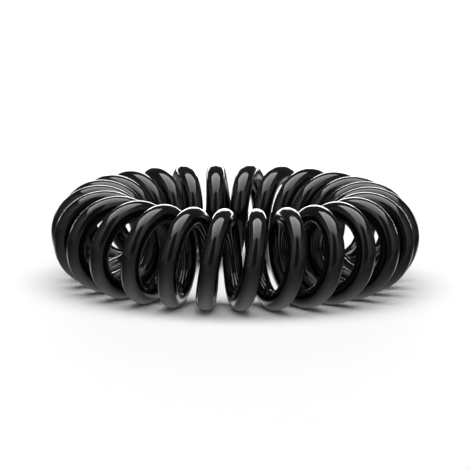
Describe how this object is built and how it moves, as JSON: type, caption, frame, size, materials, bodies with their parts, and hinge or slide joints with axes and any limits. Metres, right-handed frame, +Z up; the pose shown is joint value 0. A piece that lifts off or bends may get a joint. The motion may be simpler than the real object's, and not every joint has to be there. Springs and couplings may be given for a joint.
{
  "type": "spiral hair tie",
  "caption": "Relaxed hair tie: one thick elastic cord wound into a round coil whose ends are fused, so the coil closes into a ring that lies flat round an open hole.",
  "frame": {"origin": "under the centre of the ring, on the surface that the tie lies on", "axes": "+Z up along the axis of the ring and its hole; -Y faces the picture's camera, +X is to its right"},
  "size_m": [0.04, 0.0398, 0.0108],
  "materials": {
    "black_tpu": "gloss"
  },
  "bodies": {
    "root": {"coil": "black_tpu"}
  },
  "joints": []
}
